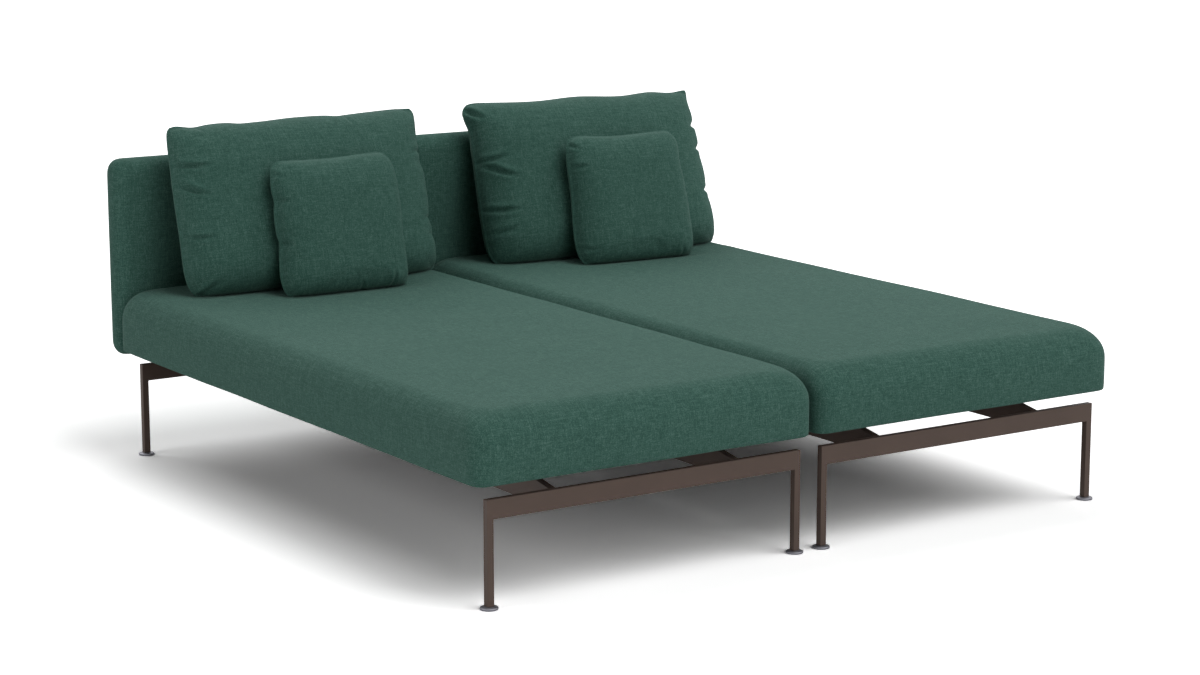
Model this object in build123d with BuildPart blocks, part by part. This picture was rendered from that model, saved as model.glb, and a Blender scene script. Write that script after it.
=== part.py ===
from build123d import *
import os
from math import cos, radians, sin, tan

# A pair of upholstered loungers that stand side by side. Each has a slim tube
# frame on four levelling feet, a seat, a low backrest, a loose back cushion and
# a throw cushion. Lengths are in millimetres and angles in degrees. +X is to the
# right seen from the foot end, +Y runs to the backrests and +Z is up. The origin
# is on the ground under the middle of the pair.

os.makedirs("parts", exist_ok=True)

# Seats
seat_width = 821
seat_length = 1641
seat_thickness = 145
seat_underside = 249
seat_gap = 6
seat_corner = 43
seat_top_edge = 67
seat_bottom_edge = 18
seat_crown = 3
seat_crown_reach = 200
seat_panel_thickness = 15
seat_hem = 8
cover_thickness = 2

# Backrests
back_inset = 12
back_height = 471
back_thickness = 80
back_underside = 228
back_gap = 0.4
back_corner = 29
back_edge = 38
back_crown = 3
back_crown_reach = 80
back_panel_thickness = 15
back_panel_margin = 45
back_panel_depth = 40

# Frames
frame_width = 760
frame_length = 1573
frame_shift = 6
seat_front_overhang = 24
leg_size = 15
leg_wall = 1.5
crossbar_height = 40
crossbar_top = 220
rail_width = 16
rail_wall = 2
rail_spacing = 444
rail_rise_angle = 10

# Levelling feet and the threaded inserts that hold them
foot_diameter = 37
foot_height = 6
foot_rim = 2.5
foot_hub_diameter = 18
foot_stem_diameter = 8
foot_stem_length = 30
foot_clearance = 0.2
insert_length = 36

# Fixings under the seat and inside the backrest
tab_width = 30
tab_length = 40
tab_height = 25
tab_thickness = 3
tab_setback = 120
bracket_width = 50
bracket_thickness = 6
bracket_spacing = 300
bracket_reach = 172
bracket_rise = 270
bracket_bend = 6
bracket_clearance = 1
bracket_screw_setback = 30
bracket_screw_pitch = 90
screw_diameter = 6
screw_length = 15
screw_head_diameter = 11
screw_head_height = 3
screw_play = 0.1

# Loose cushions
back_cushion_width = 676
back_cushion_height = 412
back_cushion_thickness = 185
back_cushion_shift = 46
back_cushion_press = 4
throw_cushion_width = 334
throw_cushion_height = 326
throw_cushion_thickness = 115
throw_cushion_shift = 62
throw_cushion_press = 16
cushion_settle = 12
cushion_cover_thickness = 1.5
cushion_clearance = 0.3

# How each cushion leans back and how it is turned, in degrees
cushion_angles = {
    "left": {"back_lean": 15, "back_turn": 2.3, "throw_lean": 14.5, "throw_turn": 0},
    "right": {"back_lean": 20, "back_turn": -2.2, "throw_lean": 16.8, "throw_turn": -3.2},
}

# Turns along a rounded edge at which a soft block has a section
edge_turns = (0, 18, 36, 54, 72, 90)

# Share of the crown's reach, and share of the crown still to rise there
crown_shares = ((0.45, 0.3), (1, 0))
corner_growth_share = 0.25
corner_limit_share = 0.45

# Sections of a loose cushion from its back to its front: depth, inset from the
# seam and bow of each side, as shares of its half depth and half height
cushion_shares = (
    (-1, 0.62, 0.19),
    (-0.93, 0.40, 0.13),
    (-0.78, 0.22, 0.075),
    (-0.56, 0.10, 0.025),
    (-0.28, 0.025, -0.015),
    (0, 0, -0.040),
    (0.28, 0.025, -0.015),
    (0.56, 0.10, 0.025),
    (0.78, 0.22, 0.075),
    (0.93, 0.40, 0.13),
    (1, 0.62, 0.19),
)

# Places worked out from the sizes
back_width = seat_width - back_inset
pair_of_backs_width = 2 * back_width + seat_gap
overall_depth = seat_length + back_gap + back_thickness
seat_front = -overall_depth / 2
seat_rear = seat_front + seat_length
seat_middle = (seat_front + seat_rear) / 2
seat_top = seat_underside + seat_thickness
back_front = seat_rear + back_gap
back_rear = back_front + back_thickness
back_middle_height = back_underside + back_height / 2
frame_front = seat_front + seat_front_overhang
frame_rear = frame_front + frame_length
rail_front = frame_front + leg_size
rail_rear = frame_rear - leg_size
rail_bottom = crossbar_top - crossbar_height
rail_rise = seat_underside - crossbar_top
rail_ramp = rail_rise / tan(radians(rail_rise_angle))
panel_inset = seat_bottom_edge + seat_hem
back_panel_front = back_front + back_panel_depth
bracket_front = seat_rear - bracket_reach
bracket_bottom = seat_underside - bracket_thickness
bracket_top = bracket_bottom + bracket_rise
cut_overrun = rail_wall

sides = {"left": -1, "right": 1}


def keep(piece, name):
    piece.part.label = name
    export_step(piece.part, f"parts/{name}.step")


def edge_sections(thickness, first_edge, last_edge, crown, crown_reach, corner, skin):
    # Height, inset and corner radius of each section, from the first face to the last
    rows = []
    for turn in edge_turns:
        bend = first_edge - skin
        rise = bend * (1 - cos(radians(turn)))
        inset = bend * (1 - sin(radians(turn)))
        rows.append((skin + rise, skin + inset))
    for turn in edge_turns:
        bend = last_edge - skin
        rise = bend * sin(radians(turn))
        inset = bend * (1 - cos(radians(turn)))
        rows.append((thickness - crown - last_edge + rise, skin + inset))
    for reach_share, left_share in crown_shares:
        rise = crown * (1 - left_share)
        inset = last_edge + crown_reach * reach_share
        rows.append((thickness - crown - skin + rise, inset))
    return [(height, inset, corner + corner_growth_share * inset) for height, inset in rows]


def soft_block(plane, width, length, sections):
    # An upholstered block with rolled edges and a crowned last face
    with BuildPart() as block:
        for height, inset, corner in sections:
            across = width - 2 * inset
            along = length - 2 * inset
            with BuildSketch(plane.offset(height)):
                limit = corner_limit_share * min(across, along)
                RectangleRounded(across, along, min(corner, limit))
        loft(ruled=True)
    return block.part


def back_form(outward, skin):
    # A backrest, rounded at its outer end and plain where it meets its neighbour
    sections = edge_sections(back_thickness, back_edge, back_edge,
                             back_crown, back_crown_reach, back_corner, skin)
    base = Plane(origin=(0, back_rear, back_middle_height), x_dir=(1, 0, 0), z_dir=(0, -1, 0))
    inner_end = outward * (seat_gap / 2 + skin)
    with BuildPart() as half:
        add(soft_block(base, pair_of_backs_width, back_height, sections))
        split(bisect_by=Plane(origin=(inner_end, 0, 0), z_dir=(outward, 0, 0)), keep=Keep.TOP)
    return half.part


def cushion_body(plane, width, height, thickness, skin):
    # A stuffed cushion, crowned on both faces, with its sides drawn in at the seam
    half_depth = thickness / 2 - skin
    half_height = height / 2 - skin
    half_width = width / 2 - skin
    with BuildPart() as body:
        for depth_share, inset_share, bow_share in cushion_shares:
            inset = inset_share * half_height
            bow = bow_share * half_height
            x = half_width - inset
            y = half_height - inset
            with BuildSketch(plane.offset(depth_share * half_depth)):
                with BuildLine():
                    ThreePointArc((-x, -y), (0, -y - bow), (x, -y))
                    ThreePointArc((x, -y), (x + bow, 0), (x, y))
                    ThreePointArc((x, y), (0, y + bow), (-x, y))
                    ThreePointArc((-x, y), (-x - bow, 0), (-x, -y))
                make_face()
        loft(ruled=True)
    return body.part


def leaning_plane(x, y, z, lean, turn):
    # Plane of a cushion that leans back and is turned, with its normal to the front
    facing = Vector(0, -1, 0).rotate(Axis.X, -lean).rotate(Axis.Z, turn)
    across = Vector(1, 0, 0).rotate(Axis.Z, turn)
    return Plane(origin=(x, y, z), x_dir=across, z_dir=facing)


def depth_on(plane, x, z):
    # Y of the point of a plane that has this X and Z
    start = plane.origin
    normal = plane.z_dir
    slope = normal.X * (x - start.X) + normal.Z * (z - start.Z)
    return start.Y - slope / normal.Y


def cushion_height_above(height, lean):
    # Height of a leaning cushion's middle over what it has settled on
    return height / 2 * cos(radians(lean)) - cushion_settle


def screws(points, direction):
    # Button head screws with their heads' seats at the points
    with BuildPart() as group:
        for point in points:
            seat = Plane(origin=point, z_dir=direction)
            with BuildSketch(seat):
                Circle(screw_diameter / 2)
            extrude(amount=screw_length)
            with BuildSketch(seat):
                Circle(screw_head_diameter / 2)
            extrude(amount=-screw_head_height)
    return group


def crossbar(middle, front):
    # Rectangular tube between two legs, open to them at its ends
    length = frame_width - 2 * leg_size
    with BuildPart() as bar:
        end = Plane(origin=(middle - length / 2, front + leg_size / 2, crossbar_top - crossbar_height / 2),
                    x_dir=(0, 1, 0), z_dir=(1, 0, 0))
        with BuildSketch(end):
            Rectangle(leg_size, crossbar_height)
            Rectangle(leg_size - 2 * leg_wall, crossbar_height - 2 * leg_wall, mode=Mode.SUBTRACT)
        extrude(amount=length)
    return bar


def leg(x, y):
    # Square tube, closed at the top where it is welded flush with the crossbar
    with BuildPart() as tube:
        with BuildSketch(Plane(origin=(x, y, foot_height))):
            Rectangle(leg_size, leg_size)
        extrude(amount=crossbar_top - foot_height)
        with BuildSketch(Plane(origin=(x, y, foot_height))):
            Rectangle(leg_size - 2 * leg_wall, leg_size - 2 * leg_wall)
        extrude(amount=crossbar_top - foot_height - leg_wall, mode=Mode.SUBTRACT)
    return tube


def leg_inserts(places):
    # Threaded plugs pressed into the lower ends of the legs
    with BuildPart() as plugs:
        for x, y in places:
            with BuildSketch(Plane(origin=(x, y, foot_height))):
                Rectangle(leg_size - 2 * leg_wall, leg_size - 2 * leg_wall)
                Circle(foot_stem_diameter / 2 + foot_clearance, mode=Mode.SUBTRACT)
            extrude(amount=insert_length)
    return plugs


def levelling_foot(x, y):
    # Low domed disc on a threaded stem, screwed fully home
    with BuildPart() as foot:
        with BuildSketch(Plane(origin=(x, y, 0), x_dir=(1, 0, 0), z_dir=(0, -1, 0))):
            with BuildLine():
                rim = foot_diameter / 2
                hub = foot_hub_diameter / 2
                stem = foot_stem_diameter / 2
                top = foot_height + foot_stem_length
                Polyline((0, top), (0, 0), (rim, 0), (rim, foot_rim))
                dome_x = (rim + hub) / 2
                dome_y = foot_rim + (foot_height - foot_rim) * sin(radians(45))
                ThreePointArc((rim, foot_rim), (dome_x, dome_y), (hub, foot_height))
                Polyline((hub, foot_height), (stem, foot_height), (stem, top), (0, top))
            make_face()
        revolve(axis=Axis((x, y, 0), (0, 0, 1)))
    return foot


def rail(x):
    # Box section rail whose top edge rises from both crossbars to the seat's underside
    with BuildPart() as box:
        with BuildSketch(Plane.YZ.offset(x)):
            with BuildLine():
                Polyline(
                    (rail_front, rail_bottom),
                    (rail_rear, rail_bottom),
                    (rail_rear, crossbar_top),
                    (rail_rear - rail_ramp, seat_underside),
                    (rail_front + rail_ramp, seat_underside),
                    (rail_front, crossbar_top),
                    close=True,
                )
            make_face()
        extrude(amount=rail_width / 2, both=True)
        drop = cut_overrun * tan(radians(rail_rise_angle))
        with BuildSketch(Plane.YZ.offset(x)):
            with BuildLine():
                Polyline(
                    (rail_front - cut_overrun, rail_bottom + rail_wall),
                    (rail_rear + cut_overrun, rail_bottom + rail_wall),
                    (rail_rear + cut_overrun, crossbar_top - rail_wall - drop),
                    (rail_rear - rail_ramp, seat_underside - rail_wall),
                    (rail_front + rail_ramp, seat_underside - rail_wall),
                    (rail_front - cut_overrun, crossbar_top - rail_wall - drop),
                    close=True,
                )
            make_face()
        extrude(amount=rail_width / 2 - rail_wall, both=True, mode=Mode.SUBTRACT)
    return box


def seat_tabs(rail_faces, places_y):
    # Small angles welded to the rails' inner faces, level with the seat's underside
    with BuildPart() as tabs:
        for face, inward in rail_faces:
            for y in places_y:
                with BuildSketch(Plane(origin=(face, y + tab_length / 2, seat_underside),
                                       x_dir=(inward, 0, 0), z_dir=(0, -inward, 0))):
                    with BuildLine():
                        Polyline(
                            (0, 0),
                            (tab_width, 0),
                            (tab_width, -tab_thickness),
                            (tab_thickness, -tab_thickness),
                            (tab_thickness, -tab_height),
                            (0, -tab_height),
                            close=True,
                        )
                    make_face()
                extrude(amount=inward * tab_length)
        for x, y in tab_screw_places(rail_faces, places_y):
            with BuildSketch(Plane(origin=(x, y, seat_underside - tab_thickness))):
                Circle(screw_diameter / 2 + screw_play)
            extrude(amount=tab_thickness, mode=Mode.SUBTRACT)
    return tabs


def tab_screw_places(rail_faces, places_y):
    reach = (tab_thickness + tab_width) / 2
    return [(face + inward * reach, y) for face, inward in rail_faces for y in places_y]


def seat_screw_holes(places, depth):
    # Holes from the seat panel's underside for the screws' shanks
    with BuildPart() as holes:
        for x, y in places:
            with BuildSketch(Plane(origin=(x, y, seat_underside))):
                Circle(screw_diameter / 2 + screw_play)
            extrude(amount=depth)
    return holes.part


def back_bracket(x, floor_places, wall_places):
    # Strap bent up from under the seat into the backrest
    with BuildPart() as strap:
        with BuildSketch(Plane.YZ.offset(x)):
            with BuildLine():
                Polyline(
                    (bracket_front, seat_underside),
                    (bracket_front, bracket_bottom),
                    (back_panel_front, bracket_bottom),
                    (back_panel_front, bracket_top),
                    (back_panel_front - bracket_thickness, bracket_top),
                    (back_panel_front - bracket_thickness, seat_underside),
                    close=True,
                )
            make_face()
            inner_corner = (back_panel_front - bracket_thickness, seat_underside)
            outer_corner = (back_panel_front, bracket_bottom)
            fillet(vertices().sort_by_distance(inner_corner)[0], bracket_bend)
            fillet(vertices().sort_by_distance(outer_corner)[0], bracket_bend + bracket_thickness)
        extrude(amount=bracket_width / 2, both=True)
        for y in floor_places:
            with BuildSketch(Plane(origin=(x, y, bracket_bottom))):
                Circle(screw_diameter / 2 + screw_play)
            extrude(amount=bracket_thickness, mode=Mode.SUBTRACT)
        for z in wall_places:
            with BuildSketch(Plane(origin=(x, back_panel_front, z), z_dir=(0, -1, 0))):
                Circle(screw_diameter / 2 + screw_play)
            extrude(amount=bracket_thickness, mode=Mode.SUBTRACT)
    return strap


def bracket_channel(x):
    # Space that the foam and the cover leave for a bracket and its screws' heads
    low = bracket_bottom - bracket_clearance
    front = back_front - cut_overrun
    head_room = bracket_thickness + screw_head_height + bracket_clearance
    bend_room = bracket_thickness + bracket_bend + bracket_clearance
    half_width = bracket_width / 2 + bracket_clearance
    with BuildPart() as channel:
        with BuildSketch(Plane.YZ.offset(x)):
            with BuildLine():
                Polyline(
                    (front, low),
                    (back_panel_front, low),
                    (back_panel_front, bracket_top + bracket_clearance),
                    (back_panel_front - head_room, bracket_top + bracket_clearance),
                    (back_panel_front - head_room, seat_underside + bracket_bend + bracket_clearance),
                    (back_panel_front - bend_room, seat_underside + bracket_clearance),
                    (front, seat_underside + bracket_clearance),
                    close=True,
                )
            make_face()
        extrude(amount=half_width, both=True)
    return channel.part


def build_frame(side, outward, middle):
    # The welded frame with its inserts and feet
    keep(crossbar(middle, frame_front), side + "_front_crossbar")
    keep(crossbar(middle, frame_rear - leg_size), side + "_rear_crossbar")
    leg_reach = frame_width / 2 - leg_size / 2
    leg_places = {
        "front_outer": (middle + outward * leg_reach, frame_front + leg_size / 2),
        "front_inner": (middle - outward * leg_reach, frame_front + leg_size / 2),
        "rear_outer": (middle + outward * leg_reach, frame_rear - leg_size / 2),
        "rear_inner": (middle - outward * leg_reach, frame_rear - leg_size / 2),
    }
    for place, (x, y) in leg_places.items():
        keep(leg(x, y), f"{side}_{place}_leg")
        keep(levelling_foot(x, y), f"{side}_{place}_foot")
    keep(leg_inserts(leg_places.values()), side + "_leg_inserts")
    keep(rail(middle + outward * rail_spacing / 2), side + "_outer_rail")
    keep(rail(middle - outward * rail_spacing / 2), side + "_inner_rail")


def build_seat(side, middle, frame_middle):
    # The seat panel, its foam and its cover, and what holds the seat to the rails
    tab_face = rail_spacing / 2 - rail_width / 2
    rail_faces = ((frame_middle - tab_face, 1), (frame_middle + tab_face, -1))
    tab_rows = (rail_front + rail_ramp + tab_setback, rail_rear - rail_ramp - tab_setback)
    keep(seat_tabs(rail_faces, tab_rows), side + "_seat_tabs")
    tab_screws = tab_screw_places(rail_faces, tab_rows)
    under_tab = seat_underside - tab_thickness
    keep(screws([(x, y, under_tab) for x, y in tab_screws], (0, 0, 1)), side + "_seat_screws")

    floor_rows = bracket_floor_rows()
    bracket_screws = [(x, y) for x in bracket_places(middle) for y in floor_rows]
    with BuildPart() as seat_panel:
        with BuildSketch(Plane(origin=(middle, seat_middle, seat_underside))):
            RectangleRounded(seat_width - 2 * panel_inset, seat_length - 2 * panel_inset, seat_corner)
        extrude(amount=seat_panel_thickness)
        panel_blank = seat_panel.part
        add(seat_screw_holes(tab_screws, screw_length - tab_thickness), mode=Mode.SUBTRACT)
        add(seat_screw_holes(bracket_screws, screw_length - bracket_thickness), mode=Mode.SUBTRACT)
    keep(seat_panel, side + "_seat_panel")

    base = Plane(origin=(middle, seat_middle, seat_underside))
    forms = []
    for skin in (0, cover_thickness):
        sections = edge_sections(seat_thickness, seat_bottom_edge, seat_top_edge,
                                 seat_crown, seat_crown_reach, seat_corner, skin)
        forms.append(soft_block(base, seat_width, seat_length, sections))
    outside, inside = forms
    with BuildPart() as seat_foam:
        add(inside)
        add(panel_blank, mode=Mode.SUBTRACT)
    keep(seat_foam, side + "_seat_foam")
    with BuildPart() as seat_cover:
        add(outside)
        add(inside, mode=Mode.SUBTRACT)
        add(panel_blank, mode=Mode.SUBTRACT)
    keep(seat_cover, side + "_seat_cover")


def bracket_places(middle):
    return (middle - bracket_spacing / 2, middle + bracket_spacing / 2)


def bracket_floor_rows():
    first = bracket_front + bracket_screw_setback
    return (first, first + bracket_screw_pitch)


def bracket_wall_rows():
    last = bracket_top - bracket_screw_setback
    return (last - bracket_screw_pitch, last)


def build_back(side, outward, middle):
    # The backrest's panel, foam and cover, and the brackets that carry it
    floor_rows = bracket_floor_rows()
    wall_rows = bracket_wall_rows()
    names = ("outer", "inner") if outward < 0 else ("inner", "outer")
    for x, name in zip(bracket_places(middle), names):
        keep(back_bracket(x, floor_rows, wall_rows), f"{side}_{name}_back_bracket")
    with BuildPart() as bracket_screws:
        for x in bracket_places(middle):
            add(screws([(x, y, bracket_bottom) for y in floor_rows], (0, 0, 1)).part)
            wall_face = back_panel_front - bracket_thickness
            add(screws([(x, wall_face, z) for z in wall_rows], (0, 1, 0)).part)
    keep(bracket_screws, side + "_bracket_screws")

    panel_width = back_width - 2 * back_panel_margin
    panel_height = back_height - 2 * back_panel_margin
    panel_middle = outward * (seat_gap + back_width) / 2
    panel_plane = Plane(origin=(panel_middle, back_panel_front, back_middle_height),
                        x_dir=(-1, 0, 0), z_dir=(0, 1, 0))
    with BuildPart() as back_panel:
        with BuildSketch(panel_plane):
            RectangleRounded(panel_width, panel_height, back_corner)
        extrude(amount=back_panel_thickness)
        panel_blank = back_panel.part
        for x in bracket_places(middle):
            for z in wall_rows:
                with BuildSketch(Plane(origin=(x, back_panel_front, z), z_dir=(0, 1, 0))):
                    Circle(screw_diameter / 2 + screw_play)
                extrude(amount=screw_length - bracket_thickness, mode=Mode.SUBTRACT)
    keep(back_panel, side + "_back_panel")

    outside = back_form(outward, 0)
    inside = back_form(outward, cover_thickness)
    channels = [bracket_channel(x) for x in bracket_places(middle)]
    with BuildPart() as back_foam:
        add(inside)
        add(panel_blank, mode=Mode.SUBTRACT)
        add(channels, mode=Mode.SUBTRACT)
    keep(back_foam, side + "_back_foam")
    with BuildPart() as back_cover:
        add(outside)
        add(inside, mode=Mode.SUBTRACT)
        add(channels, mode=Mode.SUBTRACT)
    keep(back_cover, side + "_back_cover")


def build_loose_cushion(name, plane, size, rest_planes):
    # A cover and its fill, both flattened where the cushion rests on something
    fill_body = cushion_body(plane, *size, cushion_cover_thickness)
    with BuildPart() as fill:
        add(fill_body)
        for rest in rest_planes:
            split(bisect_by=rest.offset(cushion_cover_thickness), keep=Keep.TOP)
    keep(fill, name + "_fill")
    cover_body = cushion_body(plane, *size, 0)
    with BuildPart() as cover:
        add(cover_body)
        for rest in rest_planes:
            split(bisect_by=rest, keep=Keep.TOP)
        add(fill.part, mode=Mode.SUBTRACT)
    keep(cover, name + "_cover")


def build_cushions(side, middle):
    # The back cushion leans on the backrest and the throw cushion leans on it
    angles = cushion_angles[side]
    seat_rest = Plane(origin=(middle, seat_middle, seat_top + cushion_clearance))
    back_rest = Plane(origin=(middle, back_front - cushion_clearance, back_middle_height),
                      x_dir=(1, 0, 0), z_dir=(0, -1, 0))

    lean = angles["back_lean"]
    reach = back_cushion_thickness / 2 / cos(radians(lean))
    back_plane = leaning_plane(
        middle + back_cushion_shift,
        back_front - cushion_clearance - reach + back_cushion_press,
        seat_top + cushion_height_above(back_cushion_height, lean),
        lean,
        angles["back_turn"],
    )
    back_size = (back_cushion_width, back_cushion_height, back_cushion_thickness)
    build_loose_cushion(side + "_back_cushion", back_plane, back_size, (seat_rest, back_rest))

    lean = angles["throw_lean"]
    throw_rest = back_plane.offset(back_cushion_thickness / 2 + cushion_clearance)
    throw_x = middle + throw_cushion_shift
    throw_z = seat_top + cushion_height_above(throw_cushion_height, lean)
    reach = throw_cushion_thickness / 2 / cos(radians(lean))
    throw_plane = leaning_plane(
        throw_x,
        depth_on(throw_rest, throw_x, throw_z) - reach + throw_cushion_press,
        throw_z,
        lean,
        angles["throw_turn"],
    )
    throw_size = (throw_cushion_width, throw_cushion_height, throw_cushion_thickness)
    build_loose_cushion(side + "_throw_cushion", throw_plane, throw_size, (seat_rest, throw_rest))


for side, outward in sides.items():
    seat_centre = outward * (seat_gap + seat_width) / 2
    frame_centre = seat_centre - outward * frame_shift
    build_frame(side, outward, frame_centre)
    build_seat(side, seat_centre, frame_centre)
    build_back(side, outward, seat_centre)
    build_cushions(side, seat_centre)
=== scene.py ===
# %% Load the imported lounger
import math

import bmesh
import bpy
import numpy as np
from mathutils import Matrix, Vector, noise


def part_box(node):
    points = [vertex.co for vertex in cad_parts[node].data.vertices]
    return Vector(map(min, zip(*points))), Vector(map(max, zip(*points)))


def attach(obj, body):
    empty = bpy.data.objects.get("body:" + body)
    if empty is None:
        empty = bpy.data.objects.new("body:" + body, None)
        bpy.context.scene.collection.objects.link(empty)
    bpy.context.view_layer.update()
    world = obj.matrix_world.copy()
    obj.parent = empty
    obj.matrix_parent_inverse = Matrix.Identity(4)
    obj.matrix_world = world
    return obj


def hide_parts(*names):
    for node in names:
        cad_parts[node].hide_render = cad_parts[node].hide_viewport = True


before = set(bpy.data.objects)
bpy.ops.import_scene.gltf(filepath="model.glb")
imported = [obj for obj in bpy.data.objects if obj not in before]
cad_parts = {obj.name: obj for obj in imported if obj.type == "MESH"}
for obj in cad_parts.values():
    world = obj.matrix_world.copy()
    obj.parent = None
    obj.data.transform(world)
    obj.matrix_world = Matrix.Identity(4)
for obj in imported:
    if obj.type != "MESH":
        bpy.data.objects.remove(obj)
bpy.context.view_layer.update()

print("pieces of the pair:", len(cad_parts))

# %% [markdown]
# The object is a pair of loungers that stand side by side. Everything here is in
# metres, with X to the right seen from the foot end, Y towards the backrests and
# Z up. The camera comes first, because every later choice is judged through it.
# A camera could be placed by eye, but perspective is unforgiving on long straight
# legs. This one was solved from the corners of the two leg frames, so it is given
# as a position, a turn to the side, a tilt down and a lens.

# %% Camera
camera_place = Vector((-3.5843, -5.4179, 1.5887))
camera_turn = math.radians(33.723)
camera_tilt = math.radians(11.071)
camera_lens = 86.26

camera_data = bpy.data.cameras.new("camera")
camera_data.lens = camera_lens
camera_data.sensor_width = 36.0
camera_data.clip_end = 100.0
camera = bpy.data.objects.new("camera", camera_data)
bpy.context.scene.collection.objects.link(camera)
looking = Vector((
    math.sin(camera_turn) * math.cos(camera_tilt),
    math.cos(camera_turn) * math.cos(camera_tilt),
    -math.sin(camera_tilt),
))
camera.location = camera_place
camera.rotation_mode = "QUATERNION"
camera.rotation_quaternion = looking.to_track_quat("-Z", "Y")
bpy.context.scene.camera = camera
print("camera looks along", [round(v, 3) for v in looking])

# %% [markdown]
# The picture that this scene follows was lit by large soft sources: a key from
# the front right, one from behind, and low fills that open up the front and the
# left side. Area lamps would fade across the floor, so each source is a sun,
# given by the direction that it comes from, how wide it looks in the sky, which
# softens its shadows, and its strength. The strengths were solved together, so
# that seat tops, fronts and sides reach their levels at once.

# %% Light
bpy.context.scene.view_settings.view_transform = "Standard"
suns = {
    "key": ((0.400, -0.440, 0.804), 50, 1.48),
    "back": ((0.0, 0.643, 0.766), 50, 1.09),
    "front_fill": ((0.0, -0.940, 0.342), 40, 0.63),
    "left_fill": ((-0.940, 0.0, 0.342), 40, 0.64),
}
for name, (comes_from, width, strength) in suns.items():
    sun_data = bpy.data.lights.new(name, "SUN")
    sun_data.energy = strength
    sun_data.angle = math.radians(width)
    sun = bpy.data.objects.new(name, sun_data)
    sun.rotation_mode = "QUATERNION"
    sun.rotation_quaternion = (-Vector(comes_from)).to_track_quat("-Z", "Y")
    bpy.context.scene.collection.objects.link(sun)
print("suns:", ", ".join(suns))

# %% [markdown]
# Node trees are quick to draw and slow to read as code. One small class fixes
# that: a Wire holds an output socket, and plus, minus, times and the rest add
# the Math nodes. Colours never go through Math nodes, because those turn them
# grey, so they have a mix of their own.


# %% Shader arithmetic
class Wire:
    """An output socket that can be used in sums."""

    def __init__(self, tree, socket=None):
        self.tree = tree
        self.socket = socket

    def node(self, kind, settings=None, sockets=None, output=0):
        """Adds a node, sets its settings first, then fills its sockets by name or by place."""
        node = self.tree.nodes.new(kind)
        for key, value in (settings or {}).items():
            if key == "stops":
                ramp = node.color_ramp.elements
                while len(ramp) < len(value):
                    ramp.new(0.5)
                for stop, (place, colour) in zip(ramp, value):
                    stop.position = place
                    stop.color = (*colour, 1.0)
            else:
                setattr(node, key, value)
        pairs = sockets.items() if isinstance(sockets, dict) else enumerate(sockets or [])
        for key, value in pairs:
            if isinstance(value, Wire):
                self.tree.links.new(value.socket, node.inputs[key])
            else:
                node.inputs[key].default_value = value
        return Wire(self.tree, node.outputs[output] if node.outputs else None)

    def out(self, name):
        return Wire(self.tree, self.socket.node.outputs[name])

    def math(self, operation, *others):
        return self.node("ShaderNodeMath", {"operation": operation}, [self, *others])

    def __add__(self, other):
        return self.math("ADD", other)

    def __radd__(self, other):
        return self.math("ADD", other)

    def __rsub__(self, other):
        return (self * -1.0) + other

    def __mul__(self, other):
        return self.math("MULTIPLY", other)

    def __rmul__(self, other):
        return self.math("MULTIPLY", other)

    def __gt__(self, other):
        return self.math("GREATER_THAN", other)

    def __abs__(self):
        return self.math("ABSOLUTE")


mix_factor, mix_first, mix_second, mix_result = 0, 6, 7, 2


def mix_colours(tree, factor, first, second):
    """Mixes two colours, each a wire or three numbers, through the Mix node's colour sockets."""
    settings = {"data_type": "RGBA", "blend_type": "MIX"}
    colours = [c if isinstance(c, Wire) else (*c, 1.0) for c in (first, second)]
    sockets = {mix_factor: factor, mix_first: colours[0], mix_second: colours[1]}
    return Wire(tree).node("ShaderNodeMix", settings, sockets, mix_result)


def new_material(name):
    """A material with an empty tree that holds one Principled shader."""
    material = bpy.data.materials.new(name)
    material.use_nodes = True
    tree = material.node_tree
    tree.nodes.clear()
    shader = Wire(tree).node("ShaderNodeBsdfPrincipled")
    Wire(tree).node("ShaderNodeOutputMaterial", None, {"Surface": shader})
    return material, tree, shader.socket.node


def feed(tree, shader, **values):
    """Sets or links sockets of the shader. Underscores stand for spaces in their names."""
    for key, value in values.items():
        socket = shader.inputs[key.replace("_", " ")]
        if isinstance(value, Wire):
            tree.links.new(value.socket, socket)
        else:
            socket.default_value = value


def bump(tree, height, strength, distance):
    """A Normal from a height; distance is the height's full size in metres."""
    sockets = {"Strength": strength, "Distance": distance, "Height": height}
    return Wire(tree).node("ShaderNodeBump", None, sockets)


def noise_at(tree, place, scale, detail=2.0, roughness=0.5):
    """Soft noise between 0 and 1 at a place."""
    sockets = {"Vector": place, "Scale": scale, "Detail": detail, "Roughness": roughness}
    return Wire(tree).node("ShaderNodeTexNoise", None, sockets)


def own_place(tree):
    """The piece's own coordinates in metres, which stay on it when it moves."""
    return Wire(tree).node("ShaderNodeTexCoord").out("Object")


def from_xyz(tree, x, y, z):
    """A place from three numbers or wires."""
    return Wire(tree).node("ShaderNodeCombineXYZ", None, [x, y, z])


print("shader arithmetic is ready")

# %% [markdown]
# The cloth on the seats, the backs and all the cushions is one outdoor fabric:
# a dense plain weave of dark green yarns with lighter and darker ones among
# them, so from a few steps it looks heathered. An image of cloth would need
# unwrapping. Instead the yarns are worked out from the piece's own coordinates.
# Each face uses the two axes that lie along it, chosen by its normal. Long thin
# noise gives the uneven yarns, and crossed ridges give the weave its relief.


# %% Upholstery fabric
yarn_across, yarn_along, yarn_layer = 620, 38, 4
heather_share, speckle_share, slub_share, cloud_share = 0.40, 0.52, 0.12, 0.04
weave_relief, heather_relief, weave_shadow = 0.7, 0.3, 0.22


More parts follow.
